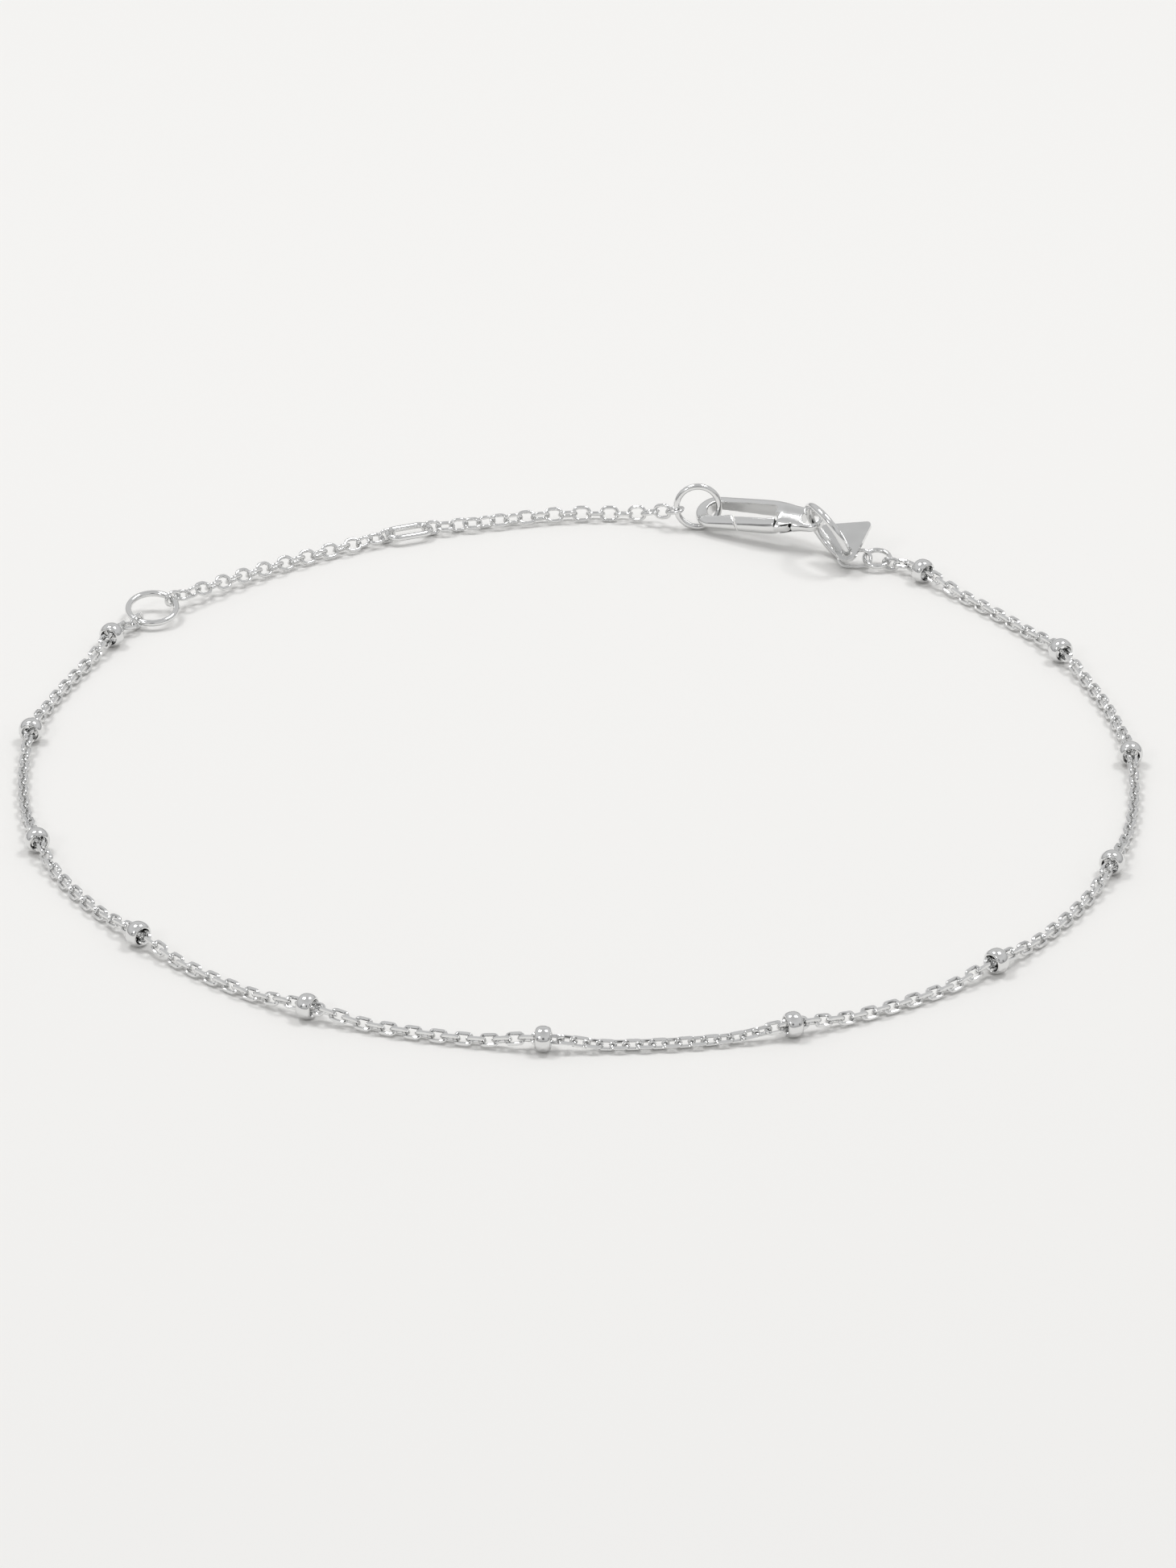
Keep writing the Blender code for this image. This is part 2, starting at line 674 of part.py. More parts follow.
def tag_outline():
    """Gives the tag's plan: three rounded corners, its tip round the hole."""
    side = TAG_WIDTH / 2 - TAG_CORNER_RADIUS
    top = TAG_HEIGHT - TAG_TIP_RADIUS - TAG_CORNER_RADIUS
    reach = math.hypot(side, top)
    flank = math.atan2(top, side) - math.acos(
        (TAG_TIP_RADIUS - TAG_CORNER_RADIUS) / reach)
    corners = (
        ((0, 0), TAG_TIP_RADIUS, math.pi - flank, 2 * math.pi + flank),
        ((side, top), TAG_CORNER_RADIUS, flank, math.pi / 2),
        ((-side, top), TAG_CORNER_RADIUS, math.pi / 2, math.pi - flank),
    )
    outline = []
    for (x, y), radius, start, stop in corners:
        for i in range(TAG_CORNER_STEPS):
            turn = start + (stop - start) * i / (TAG_CORNER_STEPS - 1)
            outline.append((x + radius * math.cos(turn), y + radius * math.sin(turn)))
    return outline


def build_tag():
    """Makes the bare three-cornered tag, hung square on the clasp ring's wire."""
    place, wire_way = on_clasp_ring(TAG_ON_RING)
    tag = prism("tag", tag_outline(), TAG_THICKNESS / 2)
    hole = prism("tag_hole", circle((0, 0), TAG_HOLE_RADIUS, ROUND_STEPS), TAG_THICKNESS)
    boolean(tag, hole, "DIFFERENCE")
    tag.data.materials.clear()
    tag.data.materials.append(silver("tag"))
    across = ALONG_X - wire_way * wire_way.x
    tag.matrix_world = frame_at(place, across, wire_way.cross(across))


def build():
    """Builds the anklet."""
    clear_scene()
    build_fine_chain()
    build_beads()
    link = link_mesh("chain_end_link_a", CHAIN_END_LINK_A, END_LINK_STEPS,
                     END_LINK_WIRE_SIDES)
    add_object("chain_end_link_a", link, end_link_a_matrix())
    build_ring("closing_ring", CLOSING_RING, closing_ring_matrix())
    build_extension()
    build_ring("end_ring", END_RING, end_ring_matrix())
    build_clasp_body()
    build_lever()
    build_ring("clasp_ring", CLASP_RING, clasp_ring_matrix())
    build_tag()
    build_chain_end_link_b()
    build_ring("chain_end_ring", CHAIN_END_RING, chain_end_ring_matrix(),
               SMALL_RING_SIDES)


build()
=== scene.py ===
"""The anklet's looks: its links, smooth silver, the pale surface, the lights and the camera."""
import json
import math

import bmesh
import bpy
import numpy as np
from mathutils import Matrix, Vector


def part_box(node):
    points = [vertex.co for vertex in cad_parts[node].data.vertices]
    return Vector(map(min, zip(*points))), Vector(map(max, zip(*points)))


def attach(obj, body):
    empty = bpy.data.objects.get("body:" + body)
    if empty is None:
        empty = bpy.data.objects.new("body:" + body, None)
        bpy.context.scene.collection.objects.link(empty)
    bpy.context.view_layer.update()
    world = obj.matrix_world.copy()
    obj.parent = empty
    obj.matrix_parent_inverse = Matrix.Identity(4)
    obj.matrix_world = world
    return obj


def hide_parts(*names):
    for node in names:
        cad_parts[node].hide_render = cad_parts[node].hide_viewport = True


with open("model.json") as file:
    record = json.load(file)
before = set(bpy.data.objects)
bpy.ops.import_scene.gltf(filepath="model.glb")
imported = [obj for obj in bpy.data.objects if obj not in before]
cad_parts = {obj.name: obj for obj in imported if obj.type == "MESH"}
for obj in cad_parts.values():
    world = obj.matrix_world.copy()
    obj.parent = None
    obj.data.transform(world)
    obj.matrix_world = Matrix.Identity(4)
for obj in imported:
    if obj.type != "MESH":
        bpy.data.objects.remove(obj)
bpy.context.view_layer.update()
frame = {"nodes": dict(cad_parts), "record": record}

MM = 0.001
UP = Vector((0, 0, 1))

# Camera, fitted to the evenly spaced beads of the photo
CAMERA_PLACE = (0.6 * MM, -486.0 * MM, 254.0 * MM)
CAMERA_TARGET = (0.6 * MM, -2.1 * MM, 0.0)
CAMERA_LENS = 182.3

# Fine chain's links
FINE_LINK_WIDTH = 1.0 * MM
FINE_LINK_WIRE = 0.28 * MM
FINE_LINK_PITCH = 0.85 * MM
FINE_LINK_FLAT = 0.345 * MM
FINE_LINK_STEPS = 24
FINE_LINK_SIDES = 10
FINE_ROLL_LINKS = 4
# Twist of the stretch to the right of the front bead, which turns its links' cuts to the light
FINE_TWIST = math.radians(36)
TWIST_BEADS = (6, 7)
TWIST_EASE = 3.5 * MM
FINE_CHAIN_LOW = 0.47 * MM
LEVEL_BY_BEAD = 0.6 * MM
DIP_LENGTH = 4.0 * MM
ROUTE_STEPS = 24

# Rings and single links: length or diameter, width and wire
RINGS = {
    "closing_ring": (3.9 * MM, 0.46 * MM),
    "end_ring": (3.6 * MM, 0.46 * MM),
    "clasp_ring": (5.15 * MM, 0.55 * MM),
    "chain_end_ring": (2.2 * MM, 0.36 * MM),
}
LINKS = {
    "middle_link": (3.7 * MM, 2.0 * MM, 0.45 * MM),
    "chain_end_link_a": (1.5 * MM, 1.2 * MM, 0.26 * MM),
    "chain_end_link_b": (2.6 * MM, 1.45 * MM, 0.28 * MM),
}
RING_STEPS = 96
LINK_STEPS = 48
WIRE_SIDES = 20
PART_GAP = 0.11 * MM

# Extension chains
EXTENSION_LINK_WIDTH = 1.2 * MM
EXTENSION_LINK_WIRE = 0.26 * MM
EXTENSION_SINK = 0.05 * MM
EXTENSION_A_BEND = (-21.6 * MM, 31.0 * MM, 0.62 * MM)
EXTENSION_B_BENDS = [(-1.8 * MM, 39.2 * MM, 0.63 * MM), (3.6 * MM, 39.4 * MM, 0.64 * MM)]
LINKS_A = 21
LINKS_B = 19
ROLL_LINKS_A = 4
MIDDLE_LINK_HEADING = math.radians(22)
CHAIN_LEAVES_END_RING = math.radians(190)

# Beads
BEAD_COUNT = 12
BEAD_DIAMETER = 1.75 * MM
BEAD_WIDTH = 1.06 * MM
BEAD_HOLE = 0.95 * MM
BEAD_SIDES = 56
BEAD_PROFILE_STEPS = 22
BEAD_BORE_SHARE = 0.3
BEAD_SHOULDER_SHARE = 0.6

# Clasp, in millimetres in its own frame, as in the part's source
CLASP_YAW = math.radians(153.7)
CLASP_PITCH = math.radians(7.5)
CLASP_ROLL = math.radians(26)
CLASP_LENGTH = 9.3
CLASP_NOSE_RADIUS = 1.4
CLASP_TAIL_RADIUS = 1.0
CLASP_TAPER = (0.4, 3.6)
CLASP_THICKNESS = (
    (-1.0, 0.84),
    (0.6, 0.90),
    (2.2, 1.50),
    (4.5, 1.40),
    (CLASP_LENGTH - 1.15, 1.00),
    (CLASP_LENGTH + 0.05, 0.90),
)
CLASP_SIDES = 48
CLASP_CAP_STEPS = 12
CLASP_MIDDLE_STEPS = 40
CLASP_SQUARENESS = 2.6
CLASP_CAP_BLUNTNESS = 0.4
TAIL_HOLE_RADIUS = 0.66
EYE_NOSE = (CLASP_LENGTH - 1.65, 0.0, 0.68)
EYE_THROAT = (3.1, -0.2, 0.42)
PIVOT = (1.9, 0.62)
PIN_RADIUS = 0.18
PIN_HALF_LENGTH = 0.55
BORE_RADIUS = 0.29
KNUCKLE_RADIUS = 0.46
KNUCKLE_REACH = (2.95, 0.98)
KNUCKLE_REACH_RADIUS = 0.3
KNUCKLE_THICKNESS = 0.6
SLOT_RADIUS = 0.72
SLOT_HALF = 0.41
BLADE_HEEL_X = 2.56
BLADE_WIDTH = 0.74
BLADE_TIP_X = CLASP_LENGTH - 3.4
TIP_SLANT = 0.5
BLADE_STEPS = 9
GATE_CUT_Y = 1.5 * CLASP_NOSE_RADIUS
GATE_GAP = 0.12
GATE_HEEL_X = 2.36
GATE_DEPTH_Y = 0.1
ROUND_STEPS = 32
CLASP_VOXEL = 0.04
CLASP_SMOOTHING = 12

TAG_EDGE = 0.05 * MM

# Silver and surface
SILVER_COLOR = (0.78, 0.782, 0.78, 1.0)
POLISH_SCALE = 900.0
RIPPLE_SCALE = 2500.0
RIPPLE_STRENGTH = 0.12
RIPPLE_DEPTH = 0.02 * MM
SURFACE_COLOR = (0.86, 0.853, 0.838, 1.0)
SURFACE_SCALE = 6.0
FLOOR_SIZE = 4.0

# World's light by height: sine of the height, brightness
WORLD_STOPS = (
    (0.0, 0.50),
    (0.12, 0.62),
    (0.28, 0.86),
    (0.55, 0.98),
    (0.80, 0.90),
    (1.0, 0.80),
)
WORLD_STRENGTH = 0.70
# Patches: direction, half-angle and edge in degrees, strength, brightness
WORLD_PATCHES = (
    ((0.0, -0.886, 0.464), 7, 5, 0.85, 0.05),
    ((-0.75, -0.55, 0.30), 5, 4, 0.85, 0.08),
    ((0.80, -0.45, 0.25), 5, 4, 0.85, 0.08),
)
# Soft lights: name, place, size, power
SOFT_LIGHTS = (
    ("top_left", (-0.26, 0.16, 0.66), 0.20, 1.25),
    ("top_right", (0.26, 0.16, 0.66), 0.20, 1.25),
    ("front_left", (-0.42, -0.55, 0.48), 0.12, 0.35),
)


def level(angle):
    """Gives the level unit vector of a heading."""
    return Vector((math.cos(angle), math.sin(angle), 0))


def frame_at(origin, x_axis, y_hint):
    """Gives the matrix with its X along x_axis and its Y as near as may be to y_hint."""
    x = x_axis.normalized()
    z = x.cross(y_hint).normalized()
    y = z.cross(x)
    return Matrix.Translation(origin) @ Matrix((x, y, z)).transposed().to_4x4()


def smooth_share(value, low, high):
    """Gives a share from 0 to 1 that eases in and out between two values."""
    share = min(max((value - low) / (high - low), 0.0), 1.0)
    return share * share * (3 - 2 * share)


def smooth_curve(points, steps):
    """Reads a smooth curve through points, with steps samples in each gap."""
    whole = [2 * points[0] - points[1], *points, 2 * points[-1] - points[-2]]
    curve = []
    for a, b, c, d in zip(whole, whole[1:], whole[2:], whole[3:]):
        for i in range(steps):
            t = i / steps
            curve.append(0.5 * (2 * b + (c - a) * t + (2 * a - 5 * b + 4 * c - d) * t ** 2
                                + (3 * b - a - 3 * c + d) * t ** 3))
    curve.append(points[-1])
    return np.array([list(p) for p in curve])


def lengths_along(curve):
    """Gives the length along a curve at each of its points."""
    steps = np.linalg.norm(np.diff(curve, axis=0), axis=1)
    return np.concatenate([[0.0], np.cumsum(steps)])


def point_along(curve, lengths, at):
    """Gives the place at a length along a curve, past its ends too."""
    inside = min(max(at, 0.0), lengths[-1])
    place = Vector([np.interp(inside, lengths, curve[:, k]) for k in range(3)])
    if at < 0:
        return place + Vector(curve[0] - curve[1]).normalized() * -at
    if at > lengths[-1]:
        return place + Vector(curve[-1] - curve[-2]).normalized() * (at - lengths[-1])
    return place


# Materials

def silver_material(name, rough_low, rough_high):
    """Makes polished silver with fine uneven polish and faint ripples."""
    material = bpy.data.materials.new(name)
    material.use_nodes = True
    tree = material.node_tree
    shader = tree.nodes["Principled BSDF"]
    coords = tree.nodes.new("ShaderNodeTexCoord")
    polish = tree.nodes.new("ShaderNodeTexNoise")
    polish.inputs["Scale"].default_value = POLISH_SCALE
    polish.inputs["Detail"].default_value = 3.0
    tree.links.new(coords.outputs["Object"], polish.inputs["Vector"])
    rough = tree.nodes.new("ShaderNodeMapRange")
    rough.inputs["To Min"].default_value = rough_low
    rough.inputs["To Max"].default_value = rough_high
    tree.links.new(polish.outputs["Fac"], rough.inputs["Value"])
    tree.links.new(rough.outputs["Result"], shader.inputs["Roughness"])
    ripple = tree.nodes.new("ShaderNodeTexNoise")
    ripple.inputs["Scale"].default_value = RIPPLE_SCALE
    ripple.inputs["Detail"].default_value = 2.0
    tree.links.new(coords.outputs["Object"], ripple.inputs["Vector"])
    bump = tree.nodes.new("ShaderNodeBump")
    bump.inputs["Strength"].default_value = RIPPLE_STRENGTH
    bump.inputs["Distance"].default_value = RIPPLE_DEPTH
    tree.links.new(ripple.outputs["Fac"], bump.inputs["Height"])
    tree.links.new(bump.outputs["Normal"], shader.inputs["Normal"])
    shader.inputs["Base Color"].default_value = SILVER_COLOR
    shader.inputs["Metallic"].default_value = 1.0
    return material


SILVER = silver_material("polished_silver", 0.05, 0.16)
CHAIN_SILVER = silver_material("chain_silver", 0.04, 0.12)


# Meshes

def add_piece(name, mesh, material, body, nodes, sharp=40):
    """Puts a mesh into the scene as one piece that stands for CAD nodes."""
    mesh.materials.clear()
    mesh.materials.append(material)
    mesh.shade_smooth()
    mesh.set_sharp_from_angle(angle=math.radians(sharp))
    obj = bpy.data.objects.new(name, mesh)
    bpy.context.scene.collection.objects.link(obj)
    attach(obj, body)
    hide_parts(*nodes)
    return obj


def loop_shape(path, wire, sides):
    """Gives the corners and faces of a round wire swept along a flat closed path."""
    path = np.array(path)
    along = np.roll(path, -1, axis=0) - np.roll(path, 1, axis=0)
    along /= np.linalg.norm(along, axis=1)[:, None]
    out = np.stack([along[:, 1], -along[:, 0]], axis=1)
    turns = 2 * np.pi * (np.arange(sides) + 0.5) / sides
    flat = path[:, None, :] + out[:, None, :] * np.cos(turns)[None, :, None] * wire / 2
    high = np.broadcast_to(np.sin(turns) * wire / 2, flat.shape[:2])
    corners = np.concatenate([flat, high[:, :, None]], axis=2).reshape(-1, 3)
    faces = []
    count = len(path)
    for i in range(count):
        for k in range(sides):
            a, b = i * sides + k, i * sides + (k + 1) % sides
            c = ((i + 1) % count) * sides
            faces.append((a, b, c + (k + 1) % sides, c + k))
    return corners, faces


def circle(centre, radius, steps):
    """Gives the outline of a circle."""
    turns = [2 * math.pi * i / steps for i in range(steps)]
    return [(centre[0] + radius * math.cos(t), centre[1] + radius * math.sin(t))
            for t in turns]


def oval_path(length, width, steps):
    """Gives a link's centre line: two half circles joined by straight sides."""
    radius = width / 2
    straight = length / 2 - radius
    half = steps // 2
    path = []
    for end in (1, -1):
        for i in range(half):
            turn = -math.pi / 2 + math.pi * i / (half - 1)
            path.append((end * (straight + radius * math.cos(turn)),
                         end * radius * math.sin(turn)))
    return path


def outward_mesh(name, corners, faces):
    """Makes a mesh with its faces turned outwards."""
    mesh = bpy.data.meshes.new(name)
    mesh.from_pydata(np.concatenate(corners).tolist(), [], faces)
    mesh.validate()
    bm = bmesh.new()
    bm.from_mesh(mesh)
    bmesh.ops.recalc_face_normals(bm, faces=bm.faces)
    bm.to_mesh(mesh)
    bm.free()
    return mesh


def joined_mesh(name, shape, matrices):
    """Makes one mesh of a shape's copies, one for each matrix."""
    corners, faces = shape
    all_corners, all_faces = [], []
    for matrix in matrices:
        turn = np.array(matrix.to_3x3())
        start = len(all_corners) * len(corners)
        all_corners.append(corners @ turn.T + np.array(matrix.translation))
        all_faces.extend(tuple(start + i for i in face) for face in faces)
    return outward_mesh(name, all_corners, all_faces)


def node_points(name):
    """Gives a CAD node's corners in the row frame."""
    mesh = frame["nodes"][name].data
    return np.array([list(v.co) for v in mesh.vertices])


def node_frame(name):
    """Reads a flat ring's or link's own frame from its CAD node: X along, Z across it."""
    points = node_points(name)
    centre = points.mean(axis=0)
    _, axes = np.linalg.eigh(np.cov((points - centre).T))
    return frame_at(Vector(centre), Vector(axes[:, 2]), Vector(axes[:, 1]))


def build_rings_and_links():
    """Makes the rings and the single links smooth, each in its CAD node's place."""
    for name, (diameter, wire) in RINGS.items():
        matrix = node_frame(name)
        shape = loop_shape(circle((0, 0), (diameter - wire) / 2, RING_STEPS), wire,
                           WIRE_SIDES)
        mesh = joined_mesh(name + "_round", shape, [matrix])
        add_piece(name + "_round", mesh, SILVER, "anklet", [name])
    for name, (length, width, wire) in LINKS.items():
        matrix = node_frame(name)
        shape = loop_shape(oval_path(length - wire, width - wire, LINK_STEPS), wire,
                           WIRE_SIDES)
        mesh = joined_mesh(name + "_round", shape, [matrix])
        add_piece(name + "_round", mesh, SILVER, "anklet", [name])


def bead_centres():
    """Gives the beads' centres from their CAD nodes' boxes."""
    centres = []
    for i in range(BEAD_COUNT):
        low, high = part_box(f"bead_{i + 1:02d}")
        centres.append((Vector(low) + Vector(high)) / 2)
    return centres


def ring_crossing(name, ring, towards):
    """Gives the place on a ring's centre line that is nearest to a direction."""
    matrix = node_frame(name)
    local = matrix.to_3x3().inverted() @ towards
    local.z = 0
    diameter, wire = ring
    return matrix @ (local.normalized() * (diameter - wire) / 2)


def fine_chain_route():
    """Gives the fine chain's centre line from the small ring to the end link."""
    centres = bead_centres()
    small = node_frame("chain_end_ring").translation
    link = node_frame("chain_end_link_a")
    length, _, wire = LINKS["chain_end_link_a"]
    reach = link.col[0].to_3d() * (length - wire) / 2
    if (centres[-1] - link.translation).dot(reach) < 0:
        reach = -reach
    start = ring_crossing("chain_end_ring", RINGS["chain_end_ring"], centres[0] - small)
    stop = link.translation + reach
    knots = [start] + centres + [stop]
    curve = smooth_curve([Vector((p.x, p.y, 0)) for p in knots], ROUTE_STEPS)
    lengths = lengths_along(curve)
    places = lengths[::ROUTE_STEPS]
    high = BEAD_DIAMETER / 2
    for row, at in zip(curve, lengths):
        from_bead = np.abs(places[1:-1] - at).min() - LEVEL_BY_BEAD
        height = high + (FINE_CHAIN_LOW - high) * smooth_share(from_bead, 0, DIP_LENGTH)
        if at < places[1]:
            height = start.z + (high - start.z) * at / places[1]
        if at > places[-2]:
            share = (at - places[-2]) / (places[-1] - places[-2])
            height = high + (stop.z - high) * share
        row[2] = height
    return curve


def build_fine_chain():
    """Makes the fine chain's interlocked links, with their outer sides cut flat."""
    curve = fine_chain_route()
    lengths = lengths_along(curve)
    ring_wire = RINGS["chain_end_ring"][1]
    link_wire = LINKS["chain_end_link_a"][2]
    spare = (ring_wire + link_wire) / 2
    count = round((lengths[-1] + spare) / FINE_LINK_PITCH)
    count += count % 2
    pitch = (lengths[-1] + spare) / count
    length = pitch + 2 * FINE_LINK_WIRE
    path = oval_path(length - FINE_LINK_WIRE, FINE_LINK_WIDTH - FINE_LINK_WIRE,
                     FINE_LINK_STEPS)
    corners, faces = loop_shape(path, FINE_LINK_WIRE, FINE_LINK_SIDES)
    first = length / 2 - FINE_LINK_WIRE - ring_wire / 2
    twist_from, twist_to = (lengths[ROUTE_STEPS * bead] for bead in TWIST_BEADS)
    all_corners, all_faces = [], []
    for i in range(count):
        at = first + pitch * i
        centre = point_along(curve, lengths, at)
        way = point_along(curve, lengths, at + pitch / 2)
        way -= point_along(curve, lengths, at - pitch / 2)
        side = min(1.0, i / FINE_ROLL_LINKS, (count - 1 - i) / FINE_ROLL_LINKS)
        roll = math.pi / 2 * i + math.pi / 4 * side
        turn = np.array(Matrix.Rotation(roll, 3, "X"))
        rolled = corners @ turn.T
        if side == 1.0:
            rolled[:, 1:] = np.clip(rolled[:, 1:], -FINE_LINK_FLAT, FINE_LINK_FLAT)
        twist = FINE_TWIST * smooth_share(at, twist_from, twist_from + TWIST_EASE)
        twist *= 1 - smooth_share(at, twist_to - TWIST_EASE / 3, twist_to)
        rolled = rolled @ np.array(Matrix.Rotation(twist, 3, "X")).T
        matrix = frame_at(centre, way, UP)
        placed = rolled @ np.array(matrix.to_3x3()).T + np.array(matrix.translation)
        start = len(corners) * i
        all_corners.append(placed)
        all_faces.extend(tuple(start + k for k in face) for face in faces)
    mesh = outward_mesh("fine_chain", all_corners, all_faces)
    add_piece("fine_chain", mesh, CHAIN_SILVER, "anklet", ["main_chain"], 30)


def link_places(start, bends, end, count, rolls):
    """Gives the matrices of an extension chain's links and their length."""
    curve = smooth_curve([start, *bends, end], ROUTE_STEPS)
    lengths = lengths_along(curve)
    hold = RINGS["end_ring"][1] / 2 + PART_GAP + EXTENSION_LINK_WIRE
    pitch = (lengths[-1] + 2 * hold - 2 * EXTENSION_LINK_WIRE + EXTENSION_SINK) / count
    length = pitch + 2 * EXTENSION_LINK_WIRE - EXTENSION_SINK
    matrices = []
    for i in range(count):
        at = length / 2 - hold + pitch * i
        way = point_along(curve, lengths, min(at + pitch / 2, lengths[-1]))
        way -= point_along(curve, lengths, max(at - pitch / 2, 0.0))
        centre = point_along(curve, lengths, min(max(at, 0.0), lengths[-1]))
        matrices.append(frame_at(centre, way, UP) @ Matrix.Rotation(rolls[i], 4, "X"))
    return matrices, length


def build_extension():
    """Makes both stretches of the extension chain smooth."""
    middle = node_frame("middle_link").translation
    way = level(MIDDLE_LINK_HEADING)
    reach = way * (LINKS["middle_link"][0] - LINKS["middle_link"][2]) / 2
    bend = Vector(EXTENSION_A_BEND)
    closing = node_frame("closing_ring").translation
    start = ring_crossing("closing_ring", RINGS["closing_ring"], bend - closing)
    rolls_a = []
    for i in range(LINKS_A):
        side = min(1.0, i / ROLL_LINKS_A, (LINKS_A - 1 - i) / ROLL_LINKS_A)
        rolls_a.append(math.pi / 2 * i + math.pi / 4 * side)
    end_ring = node_points("end_ring")
    normal = Vector(np.linalg.eigh(np.cov(end_ring.T))[1][:, 0])
    lean = normal.cross(Vector((1, 0, 0)))
    if lean.z < 0:
        lean = -lean
    leaves = level(CHAIN_LEAVES_END_RING)
    towards = Vector((1, 0, 0)) * leaves.x + lean * leaves.y
    stop = ring_crossing("end_ring", RINGS["end_ring"], towards)
    rolls_b = [math.pi / 2 * i + math.pi / 2 * i / (LINKS_B - 1) for i in range(LINKS_B)]
    stretches = (
        ("extension_chain_a", start, [bend], middle - reach, LINKS_A, rolls_a),
        ("extension_chain_b", middle + reach, [Vector(p) for p in EXTENSION_B_BENDS],
         stop, LINKS_B, rolls_b),
    )
    for name, begin, bends, finish, count, rolls in stretches:
        matrices, length = link_places(begin, bends, finish, count, rolls)
        path = oval_path(length - EXTENSION_LINK_WIRE,
                         EXTENSION_LINK_WIDTH - EXTENSION_LINK_WIRE, LINK_STEPS)
        shape = loop_shape(path, EXTENSION_LINK_WIRE, WIRE_SIDES)
        mesh = joined_mesh(name + "_links", shape, matrices)
        add_piece(name + "_links", mesh, SILVER, "anklet", [name])


def build_beads():
    """Makes the beads smooth, each in its CAD node's place."""
    hole = BEAD_HOLE / 2
    side = (BEAD_DIAMETER / 2 - hole) / 2
    flat = BEAD_BORE_SHARE * BEAD_WIDTH
    profile = [(-flat, hole), (flat, hole)]
    for i in range(BEAD_PROFILE_STEPS):
        turn = math.pi * i / (BEAD_PROFILE_STEPS - 1)
        profile.append((BEAD_WIDTH / 2 * math.cos(turn),
                        hole + side * (BEAD_SHOULDER_SHARE
                                       + (2 - BEAD_SHOULDER_SHARE) * math.sin(turn))))
    corners, faces = [], []
    rows = len(profile)
    for i in range(BEAD_SIDES):
        turn = 2 * math.pi * i / BEAD_SIDES
        corners.extend((x, r * math.cos(turn), r * math.sin(turn)) for x, r in profile)
        after = (i + 1) % BEAD_SIDES
        for k in range(rows):
            up = (k + 1) % rows
            faces.append((i * rows + k, i * rows + up, after * rows + up, after * rows + k))
    shape = (np.array(corners), faces)
    for i in range(BEAD_COUNT):
        node = f"bead_{i + 1:02d}"
        points = node_points(node)
        centre = Vector((points.min(axis=0) + points.max(axis=0)) / 2)
        _, axes = np.linalg.eigh(np.cov((points - points.mean(axis=0)).T))
        matrix = frame_at(centre, Vector(axes[:, 0]), UP)
        mesh = joined_mesh(node + "_round", shape, [matrix])
        add_piece(node + "_round", mesh, SILVER, "anklet", [node], 60)


# Clasp, made in millimetres at its own origin and then put in place

def clasp_half_width(x):
    """Gives half the clasp's width at a place along its middle."""
    share = smooth_share(x, *CLASP_TAPER)
    return CLASP_TAIL_RADIUS + (CLASP_NOSE_RADIUS - CLASP_TAIL_RADIUS) * share


def clasp_blank(name):
    """Lofts the clasp's whole rounded outside, without its holes."""
    places = [x for x, _ in CLASP_THICKNESS]
    heights = [t / 2 for _, t in CLASP_THICKNESS]
    nose_x = CLASP_LENGTH - CLASP_NOSE_RADIUS
    sections = []
    for i in range(1, CLASP_CAP_STEPS + 1):
        turn = math.pi / 2 * i / CLASP_CAP_STEPS
        sections.append((-CLASP_TAIL_RADIUS * math.cos(turn), math.sin(turn)))
    for i in range(1, CLASP_MIDDLE_STEPS):
        sections.append((nose_x * i / CLASP_MIDDLE_STEPS, 1.0))
    for i in range(CLASP_CAP_STEPS, 0, -1):
        turn = math.pi / 2 * i / CLASP_CAP_STEPS
        sections.append((nose_x + CLASP_NOSE_RADIUS * math.cos(turn), math.sin(turn)))
    bm = bmesh.new()
    rows = []
    power = 2 / CLASP_SQUARENESS
    for x, cap in sections:
        wide = clasp_half_width(x) * cap
        tall = np.interp(x, places, heights) * cap ** CLASP_CAP_BLUNTNESS
        row = []
        for k in range(CLASP_SIDES):
            turn = 2 * math.pi * (k + 0.5) / CLASP_SIDES
            y, z = math.cos(turn), math.sin(turn)
            row.append(bm.verts.new((x, wide * math.copysign(abs(y) ** power, y),
                                     tall * math.copysign(abs(z) ** power, z))))
        rows.append(row)
    for near, far in zip(rows, rows[1:]):
        for k in range(CLASP_SIDES):
            after = (k + 1) % CLASP_SIDES
            bm.faces.new((near[k], near[after], far[after], far[k]))
    bm.faces.new(rows[0])
    bm.faces.new(rows[-1])
    return add_solid(name, bm)


def add_solid(name, bm):
    """Turns a bmesh into a helper object with its faces outwards."""
    bmesh.ops.recalc_face_normals(bm, faces=bm.faces)
    mesh = bpy.data.meshes.new(name)
    bm.to_mesh(mesh)
    bm.free()
    obj = bpy.data.objects.new(name, mesh)
    bpy.context.scene.collection.objects.link(obj)
    return obj


def prism(name, outline, half_height):
    """Extrudes an outline to both sides of the XY plane."""
    bm = bmesh.new()
    low = [bm.verts.new((x, y, -half_height)) for x, y in outline]
    high = [bm.verts.new((x, y, half_height)) for x, y in outline]
    for k in range(len(outline)):
        after = (k + 1) % len(outline)
        bm.faces.new((low[k], low[after], high[after], high[k]))
    bm.faces.new(low)
    bm.faces.new(high)
    return add_solid(name, bm)


